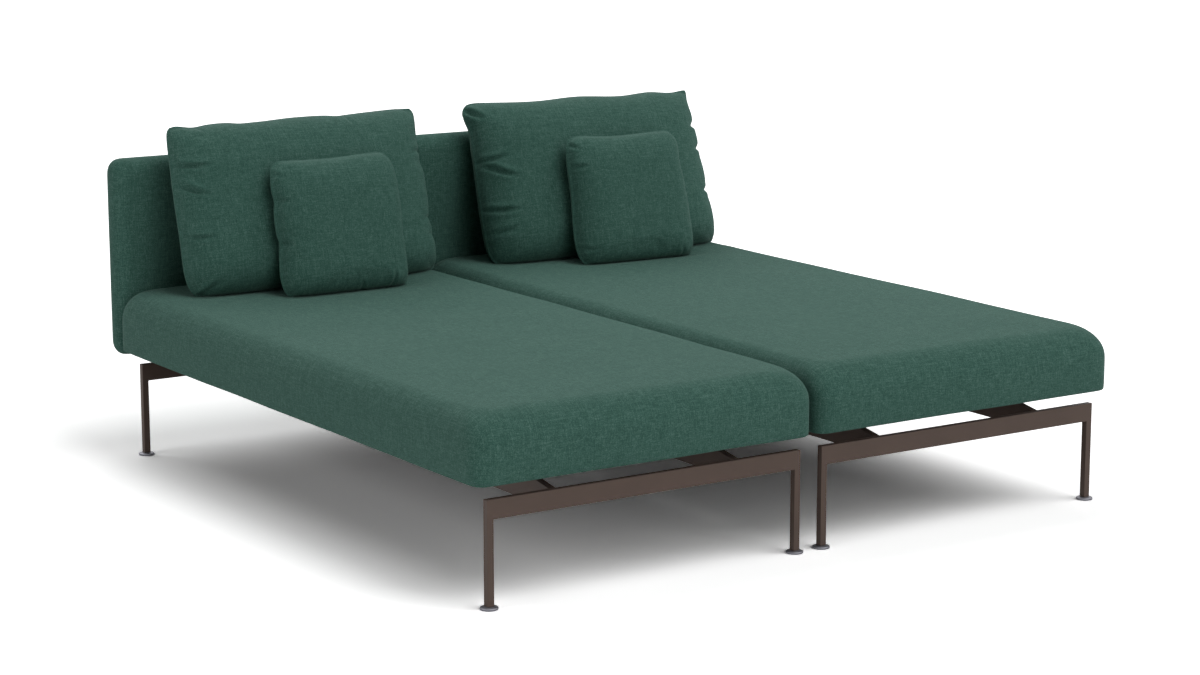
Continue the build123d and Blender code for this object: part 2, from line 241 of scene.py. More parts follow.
def woven_fabric(name, deep, middle, pale, yarn=0.0016):
    """Heathered plain weave, with yarns of the given width in metres."""
    material, tree, shader = new_material(name)
    coordinates = Wire(tree).node("ShaderNodeTexCoord")
    place = coordinates.out("Object")
    spot = Wire(tree).node("ShaderNodeSeparateXYZ", None, [place])
    facing = Wire(tree).node("ShaderNodeSeparateXYZ", None, [coordinates.out("Normal")])
    x, y, z = spot.out("X"), spot.out("Y"), spot.out("Z")
    nx, ny, nz = abs(facing.out("X")), abs(facing.out("Y")), abs(facing.out("Z"))
    top = (nz > ny) * (nz > nx)
    side = (nx > ny) * (nx > nz)
    across = x * (1 - side) + y * side
    along = z * (1 - top) + y * top

    turns = math.pi / yarn
    warp = abs((across * turns).math("COSINE"))
    weft = abs((along * turns).math("COSINE"))
    over = ((across * turns).math("SINE") * (along * turns).math("SINE")) > 0.0
    weave = warp * over + weft * (1 - over)

    warp_place = from_xyz(tree, across * yarn_across, along * yarn_along, z * yarn_layer)
    weft_place = from_xyz(tree, across * yarn_along, along * yarn_across, z * yarn_layer)
    warp_yarns = noise_at(tree, warp_place, scale=1.0, detail=1.0)
    weft_yarns = noise_at(tree, weft_place, scale=1.0, detail=1.0)
    heather = warp_yarns * (1 - over) + weft_yarns * over
    speckle = noise_at(tree, place, scale=420.0, roughness=0.75)
    slubs = noise_at(tree, place, scale=120.0, detail=1.0)
    cloud = noise_at(tree, place, scale=5.0, detail=3.0)

    level = heather * heather_share + speckle * speckle_share + slubs * slub_share
    level = level + cloud * cloud_share
    stops = ((0.41, deep), (0.54, middle), (0.67, pale))
    colour = Wire(tree).node("ShaderNodeValToRGB", {"stops": stops}, [level])
    shade = mix_colours(tree, (1 - weave) * weave_shadow, colour, (0.0, 0.0, 0.0))
    relief = weave * weave_relief + heather * heather_relief
    feed(tree, shader, Base_Color=shade, Roughness=0.80 + 0.14 * speckle,
         Normal=bump(tree, relief, strength=0.35, distance=0.0006))
    feed(tree, shader, Specular_IOR_Level=0.25, Sheen_Weight=0.05, Sheen_Roughness=0.45,
         Sheen_Tint=(0.80, 0.95, 0.90, 1.0))
    return material


upholstery = woven_fabric(
    "green_weave",
    deep=(0.020, 0.070, 0.053),
    middle=(0.038, 0.108, 0.084),
    pale=(0.090, 0.185, 0.152),
)
print("fabric nodes:", len(upholstery.node_tree.nodes))

# %% [markdown]
# The legs, crossbars and rails are steel tube in a bronze powder coat. Powder
# melts into a skin with a faint orange peel and no metal glint, so the shader is
# not metallic. A fine bump gives the peel, and slow noise varies the gloss where
# hands and weather have been.


# %% Metal, board and plastic
def powder_coat(name, colour, gloss_roughness):
    """Coloured powder coat with a fine orange peel."""
    material, tree, shader = new_material(name)
    place = own_place(tree)
    peel = noise_at(tree, place, scale=900.0)
    grime = noise_at(tree, place, scale=14.0, detail=4.0)
    darker = tuple(0.82 * c for c in colour)
    lighter = tuple(min(1.0, 1.12 * c) for c in colour)
    feed(tree, shader, Base_Color=mix_colours(tree, grime, darker, lighter),
         Roughness=gloss_roughness + 0.12 * grime,
         Normal=bump(tree, peel, strength=0.12, distance=0.0002))
    feed(tree, shader, Specular_IOR_Level=0.35)
    return material


def bare_metal(name, colour, roughness):
    """Plain metal with fine scratches from handling."""
    material, tree, shader = new_material(name)
    place = own_place(tree)
    scratches = noise_at(tree, place, scale=700.0, detail=3.0, roughness=0.7)
    dirt = noise_at(tree, place, scale=60.0, detail=3.0)
    darker = tuple(0.7 * c for c in colour)
    feed(tree, shader, Base_Color=mix_colours(tree, dirt, darker, colour),
         Roughness=roughness + 0.15 * scratches, Metallic=0.9,
         Normal=bump(tree, scratches, strength=0.1, distance=0.0001))
    return material


def plywood(name):
    """Plywood under a thin dark weatherproof coat, with its grain along Y."""
    material, tree, shader = new_material(name)
    spot = Wire(tree).node("ShaderNodeSeparateXYZ", None, [own_place(tree)])
    grain_place = from_xyz(tree, spot.out("X") * 60, spot.out("Y") * 3, spot.out("Z") * 60)
    grain = noise_at(tree, grain_place, scale=1.0, detail=5.0, roughness=0.6)
    plies = abs((spot.out("Z") * 1200).math("SINE"))
    wood = mix_colours(tree, grain, (0.052, 0.052, 0.053), (0.088, 0.087, 0.086))
    layered = mix_colours(tree, plies * 0.15, wood, (0.030, 0.030, 0.030))
    feed(tree, shader, Base_Color=layered, Roughness=0.55 + 0.2 * grain,
         Normal=bump(tree, grain, strength=0.2, distance=0.0004))
    return material


def moulded_plastic(name, colour):
    """Matt moulded plastic."""
    material, tree, shader = new_material(name)
    place = own_place(tree)
    grit = noise_at(tree, place, scale=1200.0)
    paler = tuple(1.3 * c for c in colour)
    feed(tree, shader, Base_Color=mix_colours(tree, grit, colour, paler),
         Roughness=0.6 + 0.1 * grit, Normal=bump(tree, grit, strength=0.15, distance=0.0001))
    return material


bronze = powder_coat("bronze_powder_coat", (0.090, 0.060, 0.047), 0.42)
black_coat = powder_coat("black_powder_coat", (0.018, 0.018, 0.018), 0.5)
zinc = bare_metal("zinc_plate", (0.42, 0.43, 0.45), 0.35)
foot_metal = bare_metal("grey_foot_metal", (0.27, 0.27, 0.30), 0.42)
board = plywood("coated_plywood")
plug_plastic = moulded_plastic("black_plastic", (0.012, 0.012, 0.012))
print("materials:", [m.name for m in (bronze, black_coat, zinc, foot_metal, board, plug_plastic)])

# %% [markdown]
# Pieces whose CAD shape is already right keep it and only get their finish:
# the boards, brackets, tabs, screws and plugs.

# %% Finishes on the kept pieces
sides = {"left": -1, "right": 1}
kept_finishes = {
    "seat_panel": board,
    "back_panel": board,
    "outer_back_bracket": black_coat,
    "inner_back_bracket": black_coat,
    "seat_tabs": bronze,
    "seat_screws": zinc,
    "bracket_screws": zinc,
    "leg_inserts": plug_plastic,
}
for side in sides:
    for node, material in kept_finishes.items():
        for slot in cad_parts[f"{side}_{node}"].material_slots:
            slot.material = material
print("finished CAD pieces:", len(kept_finishes) * len(sides))

# %% [markdown]
# Each leg frame is welded from square tube and a rectangular crossbar, and then
# ground flush, so it looks like one bent piece. Real tube has a small radius on
# every edge, which catches a thin line of light. Extruding one outline and
# bevelling it gives both, where separate boxes would show false joints.


# %% Welded leg frames and rails
tube_radius = 0.0007
plug_lip = 0.0003
rail_ramp_degrees = 10


def link_mesh(name, mesh, material):
    """An object for a mesh, in the scene, with its material."""
    piece = bpy.data.objects.new(name, mesh)
    bpy.context.scene.collection.objects.link(piece)
    piece.data.materials.append(material)
    return piece


def smooth_piece(name, bm, material):
    """Closes a bmesh and makes it an object with smooth faces."""
    mesh = bpy.data.meshes.new(name)
    bm.to_mesh(mesh)
    bm.free()
    for polygon in mesh.polygons:
        polygon.use_smooth = True
    return link_mesh(name, mesh, material)


def extruded_outline(name, outline, thickness_axis, start, end, radius, material):
    """A solid between two planes of an axis, with this outline and rounded edges."""
    bm = bmesh.new()
    low = []
    for first, second in outline:
        corner = [first, second]
        corner.insert(thickness_axis, start)
        low.append(bm.verts.new(corner))
    face = bm.faces.new(low)
    grown = bmesh.ops.extrude_face_region(bm, geom=[face])
    shift = [0.0, 0.0, 0.0]
    shift[thickness_axis] = end - start
    moved = [g for g in grown["geom"] if isinstance(g, bmesh.types.BMVert)]
    bmesh.ops.translate(bm, verts=moved, vec=shift)
    bmesh.ops.recalc_face_normals(bm, faces=bm.faces)
    bmesh.ops.bevel(bm, geom=bm.edges[:], offset=radius, segments=3, profile=0.5,
                    affect="EDGES")
    piece = smooth_piece(name, bm, material)
    flatten = piece.modifiers.new("weighted", "WEIGHTED_NORMAL")
    flatten.keep_sharp = True
    return piece


def leg_frame(side, end):
    """The crossbar and both legs at one end of a lounger, as one welded piece."""
    bar_low, bar_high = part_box(f"{side}_{end}_crossbar")
    leg_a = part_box(f"{side}_{end}_outer_leg")
    leg_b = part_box(f"{side}_{end}_inner_leg")
    west, east = (leg_a, leg_b) if leg_a[0].x < leg_b[0].x else (leg_b, leg_a)
    cut = west[0].z + plug_lip
    outline = [
        (west[0].x, cut),
        (west[1].x, cut),
        (west[1].x, bar_low.z),
        (east[0].x, bar_low.z),
        (east[0].x, cut),
        (east[1].x, cut),
        (east[1].x, bar_high.z),
        (west[0].x, bar_high.z),
    ]
    piece = extruded_outline(f"{side}_{end}_leg_frame", outline, 1, bar_low.y, bar_high.y,
                             tube_radius, bronze)
    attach(piece, f"{side}_lounger")
    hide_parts(f"{side}_{end}_crossbar", f"{side}_{end}_outer_leg", f"{side}_{end}_inner_leg")


def tapered_rail(side, place):
    """A rail between the crossbars that rises to the seat's underside."""
    node = f"{side}_{place}_rail"
    low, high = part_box(node)
    bar_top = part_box(f"{side}_front_crossbar")[1].z
    ramp = (high.z - bar_top) / math.tan(math.radians(rail_ramp_degrees))
    outline = [
        (low.y, low.z),
        (high.y, low.z),
        (high.y, bar_top),
        (high.y - ramp, high.z),
        (low.y + ramp, high.z),
        (low.y, bar_top),
    ]
    piece = extruded_outline(f"{side}_{place}_rail_skin", outline, 0, low.x, high.x,
                             tube_radius, bronze)
    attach(piece, f"{side}_lounger")
    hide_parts(node)


for side in sides:
    for end in ("front", "rear"):
        leg_frame(side, end)
    for place in ("outer", "inner"):
        tapered_rail(side, place)
print("tube radius in millimetres:", tube_radius * 1000)

# %% [markdown]
# Under each leg is a levelling foot: a low domed disc on a threaded stem. It is
# a turned part, so it is made by spinning a profile round its axis. The thread
# only shows when the foot is wound down, and rings close together read as one.


# %% Levelling feet
thread_pitch = 0.00125
thread_depth = 0.0006
stem_radius = 0.004
stem_chamfer = 0.0008
hub_radius = 0.009
rim_height = 0.0040
lower_edge = ((0.0012, 0.0), (0.0003, 0.0003), (0.0, 0.0010))
dome_steps = 8
dome_bulge = 0.7
crease_degrees = 40


def foot_profile(radius, height, top):
    """Radius and height of each ring of a foot, from its underside up."""
    rings = [(0.0, 0.0)] + [(radius - inset, level) for inset, level in lower_edge]
    rings.append((radius, rim_height))
    for step in range(1, dome_steps + 1):
        turn = math.radians(90) * step / dome_steps
        out = hub_radius + (radius - hub_radius) * math.cos(turn) ** dome_bulge
        rings.append((out, rim_height + (height - rim_height) * math.sin(turn)))
    rings.append((stem_radius, height))
    level = height + thread_pitch
    while level < top - thread_pitch:
        rings.append((stem_radius - thread_depth, level - thread_pitch / 2))
        rings.append((stem_radius, level))
        level += thread_pitch
    rings += [(stem_radius - stem_chamfer, top), (0.0, top)]
    return rings


def turned(name, centre, rings, material, steps=64):
    """A piece made by turning a profile round a vertical axis."""
    bm = bmesh.new()
    verts = [bm.verts.new((radius, 0.0, level)) for radius, level in rings]
    edges = [bm.edges.new(pair) for pair in zip(verts, verts[1:])]
    bmesh.ops.spin(bm, geom=verts + edges, cent=(0, 0, 0), axis=(0, 0, 1),
                   angle=math.tau, steps=steps, use_duplicate=False)
    bmesh.ops.remove_doubles(bm, verts=bm.verts, dist=1e-6)
    bmesh.ops.recalc_face_normals(bm, faces=bm.faces)
    bmesh.ops.translate(bm, verts=bm.verts, vec=centre)
    piece = smooth_piece(name, bm, material)
    piece.data.set_sharp_from_angle(angle=math.radians(crease_degrees))
    return piece


leg_places = ("front_outer", "front_inner", "rear_outer", "rear_inner")
for side in sides:
    for place in leg_places:
        node = f"{side}_{place}_foot"
        low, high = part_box(node)
        leg_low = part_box(f"{side}_{place}_leg")[0].z
        centre = Vector(((low.x + high.x) / 2, (low.y + high.y) / 2, low.z))
        rings = foot_profile((high.x - low.x) / 2, leg_low - low.z, high.z - low.z)
        foot = turned(f"{side}_{place}_turned_foot", centre, rings, foot_metal)
        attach(foot, f"{side}_{place}_leveller")
        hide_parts(node)
print("feet:", len(sides) * len(leg_places))

# %% [markdown]
# The seats and the backrests are foam blocks under tight cloth. A cube with a
# bevel would have the same radius everywhere and flat faces. The real seat has a
# slight crown, rolls over softly at the front and tighter at its sides and at the
# backrest, and draws in towards a crisp bottom edge where the cloth is fixed. So
# the block is an even grid that is wrapped over its rolled edges. Squares of one
# size also let the subdivision stay smooth everywhere.


# %% Foam blocks
arc_share = 0.55
corner_growth = 0.25
corner_fade = 0.5
rim_band = 0.008
plain_share = 0.2
bow_reach = 0.055
bow_tightens = 3.2


def on_ring(x, y, half_x, half_y, corner):
    """Moves a point of a rectangle's outline on to the outline with rounded corners."""
    corner = min(corner, half_x, half_y)
    if corner <= 0:
        return x, y
    if abs(abs(x) - half_x) <= abs(abs(y) - half_y):
        past = (abs(y) - (half_y - corner)) / corner
        turn = math.radians(45) * past
    else:
        past = (abs(x) - (half_x - corner)) / corner
        turn = math.radians(90) - math.radians(45) * past
    if past <= 0:
        return x, y
    new_x = half_x - corner + corner * math.cos(turn)
    new_y = half_y - corner + corner * math.sin(turn)
    return math.copysign(new_x, x), math.copysign(new_y, y)


def rolled_profile(thickness, first_edge, last_edge, crown, step, bow):
    """Height, inset and the bow's part of it up the edges, from the first face to the last."""
    rows = []
    arc_step = arc_share * step
    turns = max(3, round(first_edge * math.pi / 2 / arc_step))
    for i in range(turns + 1):
        turn = math.radians(90) * i / turns
        rows.append((first_edge * (1 - math.cos(turn)), first_edge * (1 - math.sin(turn))))
    straight = thickness - crown - first_edge - last_edge
    cells = max(1, round(straight / step))
    for i in range(1, cells):
        rows.append((first_edge + straight * i / cells, 0.0))
    turns = max(3, round(last_edge * math.pi / 2 / arc_step))
    for i in range(turns + 1):
        turn = math.radians(90) * i / turns
        height = thickness - crown - last_edge + last_edge * math.sin(turn)
        rows.append((height, last_edge * (1 - math.cos(turn))))
    drawn = [bow * max(0, 1 - height / bow_reach) ** 2 for height, _ in rows]
    return [(height, inset + more, more) for (height, inset), more in zip(rows, drawn)]


def foam_block(name, size, place, step, first_edge, last_edge, corner, crown, reach,
               hollow=0.0, plain_end=0, side_share=1.0, rear_share=1.0, bow=0.0):
    """A closed block of quads. place turns a local point into the final one."""
    width, length, thickness = size

    def across(x, inset):
        """Half width on this side of the middle, and the share of its corners that is kept."""
        if x * plain_end > 0:
            return width / 2 - inset * plain_share, plain_share
        return width / 2 - inset * side_share, 1

    def along(y, inset):
        """Half length on this side of the middle."""
        return length / 2 - inset * (rear_share if y > 0 else 1)

    def plan_corner(share, inset, drawn):
        """Radius of an outline's corners, smaller where the bow draws it in."""
        return share * (corner + corner_growth * inset) - bow_tightens * drawn

    cells_x = round((width - 2 * last_edge) / step)
    cells_y = round((length - 2 * last_edge) / step)
    bm = bmesh.new()
    parts_x = [2 * i / cells_x - 1 for i in range(cells_x + 1)]
    parts_y = [2 * j / cells_y - 1 for j in range(cells_y + 1)]
    round_trip = [(a, -1) for a in parts_x[:-1]] + [(1, b) for b in parts_y[:-1]]
    round_trip += [(-a, 1) for a in parts_x[:-1]] + [(-1, -b) for b in parts_y[:-1]]

    rows = []
    profile = rolled_profile(thickness, first_edge, last_edge, crown, step, bow)
    for height, inset, drawn in profile:
        ring = []
        for a, b in round_trip:
            half_x, share = across(a, inset)
            half_y = along(b, inset)
            rounded = plan_corner(share, inset, drawn)
            x, y = on_ring(a * half_x, b * half_y, half_x, half_y, rounded)
            ring.append(bm.verts.new(place(x, y, height)))
        rows.append(ring)
    for below, above in zip(rows, rows[1:]):
        for i in range(len(below)):
            j = (i + 1) % len(below)
            bm.faces.new((below[i], below[j], above[j], above[i]))

    for last in (False, True):
        edge = last_edge if last else first_edge + bow
        grid = []
        for b in parts_y:
            half_y = along(b, edge)
            line = []
            for a in parts_x:
                half_x, share = across(a, edge)
                x, y = a * half_x, b * half_y
                depth = min(half_x - abs(x), half_y - abs(y))
                rounded = plan_corner(share, edge, 0.0 if last else bow) - corner_fade * depth
                x, y = on_ring(x, y, half_x - depth, half_y - depth, rounded)
                if last:
                    left = 1 - min(depth / reach, 1)
                    height = thickness - crown * left * left
                else:
                    height = 0.0 if depth < rim_band else hollow
                line.append(bm.verts.new(place(x, y, height)))
            grid.append(line)
        for lower, upper in zip(grid, grid[1:]):
            for i in range(cells_x):
                bm.faces.new((lower[i], lower[i + 1], upper[i + 1], upper[i]))
    bmesh.ops.remove_doubles(bm, verts=bm.verts, dist=1e-5)
    bmesh.ops.recalc_face_normals(bm, faces=bm.faces)
    return smooth_piece(name, bm, upholstery)


def soften(piece, amount, size, seed):
    """Slow unevenness of stuffed cloth, along the normals."""
    mesh = piece.data
    shift = Vector((seed, 2.3 * seed, 0.7 * seed))
    normals = [v.normal.copy() for v in mesh.vertices]
    for vertex, normal in zip(mesh.vertices, normals):
        vertex.co += normal * amount * noise.noise(vertex.co / size + shift)
    mesh.update()


def subdivided(piece):
    """Adds smooth subdivision that stays live on the piece."""
    smooth = piece.modifiers.new("smooth", "SUBSURF")
    smooth.levels = 1
    smooth.render_levels = 1


cloth_swell = 0.001


def upholster_seat(side, seed):
    """The seat's block under its cloth."""
    low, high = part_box(f"{side}_seat_cover")
    middle = (low + high) / 2
    size = high - low

    def place(x, y, z):
        return (middle.x + x, middle.y + y, low.z + z)

    piece = foam_block(f"{side}_seat_upholstery", (size.x, size.y, size.z), place, step=0.016,
                       first_edge=0.005, last_edge=0.067, corner=0.043, crown=0.003, reach=0.2,
                       hollow=0.002, side_share=0.74, rear_share=0.3, bow=0.007)
    soften(piece, amount=0.0016, size=0.22, seed=seed)
    subdivided(piece)
    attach(piece, f"{side}_lounger")
    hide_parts(f"{side}_seat_cover", f"{side}_seat_foam")
    return piece


def upholster_back(side, seed):
    """The backrest's block under its cloth, with its crown to the front and a plain inner end."""
    outward = sides[side]
    low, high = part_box(f"{side}_back_cover")
    middle = (low + high) / 2 + Vector((outward, 0, 1)) * cloth_swell / 2
    size = high - low + Vector((cloth_swell, 0, cloth_swell))

    def place(x, y, z):
        return (middle.x + x, high.y - z, middle.z + y)

    piece = foam_block(f"{side}_back_upholstery", (size.x, size.z, size.y), place, step=0.012,
                       first_edge=0.038, last_edge=0.038, corner=0.029, crown=0.003, reach=0.08,
                       plain_end=-outward)
    soften(piece, amount=0.0008, size=0.2, seed=seed)
    subdivided(piece)
    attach(piece, f"{side}_lounger")
    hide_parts(f"{side}_back_cover", f"{side}_back_foam")
    return piece


seats = {}
seat_seed, back_seed = 3.1, 7.7
for number, side in enumerate(sides):
    seats[side] = upholster_seat(side, seat_seed + number)
    back = upholster_back(side, back_seed + number)
    print(side, "seat vertices:", len(seats[side].data.vertices))
    print(side, "back vertices:", len(back.data.vertices))

# %% [markdown]
# A loose cushion is two panels of cloth sewn together all round and filled with
# fibre. The filling pushes the middle out, the seam is shorter than the cloth
# wants to be, and so the edge draws in between puckers while the corners stay out
# as blunt ears. Remeshing a box would lose that seam. Here both panels are even
# grids that share their border, so the seam is a real edge with a narrow lip.


# %% Cushion outline
corner_focus = 6
lower_bluntness = 1.8


def smooth_line(knots, places):
    """A soft curve through (place, value) knots, read at these places."""
    x = np.array([k[0] for k in knots], dtype=float)
    y = np.array([k[1] for k in knots], dtype=float)
    slope = np.gradient(y, x)
    index = np.clip(np.searchsorted(x, places, side="right") - 1, 0, len(x) - 2)
    gap = x[index + 1] - x[index]
    t = np.clip((places - x[index]) / gap, 0, 1)
    first = (1 + 2 * t) * (1 - t) ** 2 * y[index] + t * (1 - t) ** 2 * gap * slope[index]
    return first + t * t * (3 - 2 * t) * y[index + 1] - t * t * (1 - t) * gap * slope[index + 1]


def eased(share):
    """Softens both ends of a slope that runs from 0 to 1."""
    return share * share * (3 - 2 * share)


def blunt_corners(a, b, powers):
    """Pulls the corners of a square in; a high power keeps a sharp corner."""
    low_left, low_right, top_right, top_left = powers
    right, top = (a + 1) / 2, (b + 1) / 2
    power = (low_left * (1 - right) + low_right * right) * (1 - top)
    power += (top_left * (1 - right) + top_right * right) * top
    reach = np.maximum(np.maximum(abs(a), abs(b)), 1e-6)
    shares = np.maximum((abs(a) / reach) ** power + (abs(b) / reach) ** power, 1)
    pull = (shares ** (-1 / power) - 1) * reach**corner_focus + 1
    return a * pull, b * pull


def filling(a, b, bluntness, steepness):
    """How far a panel stands out, from 0 at the seam to 1 in the middle, fuller below."""
    settled = np.where(b < 0, lower_bluntness * bluntness, bluntness)
    return ((1 - abs(a) ** bluntness) * (1 - abs(b) ** settled)) ** steepness


print("cushion outline helpers are ready")

# %% [markdown]
# The puckers are where the eye goes. Each starts at the seam, runs a hand's
# width into the panel and fades. Across it there is a narrow valley with a soft
# roll of cloth on both sides, and the seam is drawn in a little where it starts.


# %% Puckers and panels
seam_lip = 0.006
lip_half = 0.0010
lip_rise = 0.0015
pucker_bow = 0.06
pucker_start = 0.012
fade_in, fade_in_run = -0.35, 0.5
fade_out, fade_out_run = 1.15, 0.75
roll_place, roll_width = 2.1, 1.7
roll_height, second_roll = 0.55, 0.6
slow_wave, fine_wave, seam_wave = (0.0030, 0.13), (0.0010, 0.04), (0.0030, 0.022)
seam_wave_reach = 0.02
edge_power = 5
sag_middle, sag_fall, sag_curve = 0.25, 0.5, 0.25


def ridge(across, middle, width):
    """A soft ridge of height 1 that runs along a line."""
    return np.exp(-(((across - middle) / width) ** 2))


def pucker(x, z, start, finish, depth, width):
    """How much a pucker raises (above 0) or sinks (below 0) a panel at x and z."""
    run = np.array(finish) - np.array(start)
    length = np.hypot(*run)
    along = ((x - start[0]) * run[0] + (z - start[1]) * run[1]) / length**2
    across = ((z - start[1]) * run[0] - (x - start[0]) * run[1]) / length
    bowed = across + pucker_bow * length * np.sin(math.pi * np.clip(along, 0, 1))
    fade = np.clip((along - fade_in) / fade_in_run, 0, 1)
    fade *= np.clip((fade_out - along) / fade_out_run, 0, 1)
    rolls = ridge(bowed, roll_place * width, roll_width * width)
    rolls += second_roll * ridge(bowed, -roll_place * width, roll_width * width)
    return depth * eased(fade) * (roll_height * rolls - ridge(bowed, 0, width))


def panel(direction, size, form, step):
    """Places of one panel's grid: an array of rows, columns and x, y, z."""
    width, height, thickness = size
    a = np.linspace(-1, 1, round(width / step) + 1)
    b = np.linspace(-1, 1, round(height / step) + 1)
    a, b = np.meshgrid(a, b)
    edge = np.minimum((1 - abs(a)) * width / 2, (1 - abs(b)) * height / 2)
    inner_a = np.clip(abs(a) * width / (width - 2 * seam_lip), 0, 1)
    inner_b = np.clip(abs(b) * height / (height - 2 * seam_lip), 0, 1)
    full = filling(inner_a, np.copysign(inner_b, b), form["bluntness"], form["steepness"])
    full *= 1 + form["sag"] * (sag_middle - b * sag_fall - b * b * sag_curve)

    x, z = blunt_corners(a, b, form["corners"])
    x, z = x * width / 2, z * height / 2
    left, right = (smooth_line(form[key], z / height * 2) for key in ("left", "right"))
    x += np.where(a < 0, -1, 1) * abs(a) ** edge_power * np.where(a < 0, left, right)
    bottom, top = (smooth_line(form[key], x / width * 2) for key in ("bottom", "top"))
    z += np.where(b < 0, -1, 1) * abs(b) ** edge_power * np.where(b < 0, bottom, top)

    lift = full * thickness / 2
    if direction < 0:
        for start, finish, depth, thin in form["puckers"]:
            begin = (start[0] * width / 2, start[1] * height / 2)
            close = (finish[0] * width / 2, finish[1] * height / 2)
            lift += pucker(x, z, begin, close, depth, thin) * np.clip(edge / pucker_start, 0, 1)
    for (row, column), spot in np.ndenumerate(lift):
        place = Vector((x[row, column], direction * 2.0 + form["seed"], z[row, column]))
        wave = slow_wave[0] * noise.noise(place / slow_wave[1])
        wave += fine_wave[0] * noise.noise(place / fine_wave[1])
        seam = seam_wave[0] * math.exp(-edge[row, column] / seam_wave_reach)
        wave += seam * noise.noise(place / seam_wave[1])
        lift[row, column] = spot + wave * min(1.0, edge[row, column] / seam_wave_reach)
    lip = lip_half * np.clip(edge / lip_rise, 0, 1)
    return np.stack([x, direction * np.maximum(lift, lip), z], axis=2)


def sewn_cushion(name, size, form, step):
    """Two panels joined at the seam, upright, facing the front."""
    bm = bmesh.new()
    for direction in (-1, 1):
        places = panel(direction, size, form, step)
        rows, columns = places.shape[:2]
        grid = [[bm.verts.new(places[j, i]) for i in range(columns)] for j in range(rows)]
        for lower, upper in zip(grid, grid[1:]):
            for i in range(columns - 1):
                corners = (lower[i], lower[i + 1], upper[i + 1], upper[i])
                bm.faces.new(corners if direction < 0 else corners[::-1])
    border = [v for v in bm.verts if v.is_boundary]
    for vertex in border:
        vertex.co.y = 0.0
    bmesh.ops.remove_doubles(bm, verts=border, dist=1e-5)
    bmesh.ops.recalc_face_normals(bm, faces=bm.faces)
    return smooth_piece(name, bm, upholstery)


print("seam lip in millimetres:", seam_lip * 1000)

# %% [markdown]
# A modelled cushion still looks carved until real cloth has had a say. A short
# cloth simulation with air pressure inside relaxes the panels: the rolls beside
# the puckers fill out and the seam wrinkles. Only a small move is kept, and less
# of it near the stitched seam, so that the cushion stays the size and the shape
# that was sewn.


# %% Cloth simulation
seam_hold = 0.012


def inflate(piece, pressure, growth, cap, frames=12):
    """Blows a cushion up as cloth and keeps each point within cap of where it was sewn."""
    scene = bpy.context.scene
    cloth = piece.modifiers.new("cloth", "CLOTH")
    cloth.settings.use_pressure = True
    cloth.settings.uniform_pressure_force = pressure
    cloth.settings.shrink_min = -growth
    cloth.settings.quality = 4
    cloth.settings.tension_stiffness = 25
    cloth.settings.compression_stiffness = 25
    cloth.settings.shear_stiffness = 8
    cloth.settings.bending_stiffness = 0.4
    cloth.settings.effector_weights.gravity = 0
    cloth.collision_settings.use_collision = False
    cloth.point_cache.frame_start = 1
    cloth.point_cache.frame_end = frames
    for number in range(1, frames + 1):
        scene.frame_set(number)
    before = np.array([v.co[:] for v in piece.data.vertices])
    ready = piece.evaluated_get(bpy.context.evaluated_depsgraph_get())
    after = np.array([v.co[:] for v in ready.to_mesh().vertices])
    ready.to_mesh_clear()
    piece.modifiers.remove(cloth)
    scene.frame_set(1)
    move = after - before
    far = np.linalg.norm(move, axis=1, keepdims=True)
    move *= np.minimum(1.0, cap / np.maximum(far, 1e-9))
    move *= np.minimum(1.0, abs(before[:, 1:2]) / seam_hold)
    for vertex, place in zip(piece.data.vertices, before + move):
        vertex.co = place
    piece.data.update()
    kept = float(np.linalg.norm(move, axis=1).max())
    print(piece.name, "moved at most", round(kept * 1000, 1), "mm")


# %% [markdown]
# Every cushion was plumped by hand and stands in its own way, so each has its
# own lean, turn and puckers. Positions are shares of half the width and half the
# height of the panel, as seen from the front. Edge lists say how many metres the
# edge stands out (above 0) or draws in (below 0) along its length. Corners go
# round from the lower left, and a higher number is a sharper one. A pucker has a
# start, an end, a depth and a width, and a depth below 0 makes a ridge.

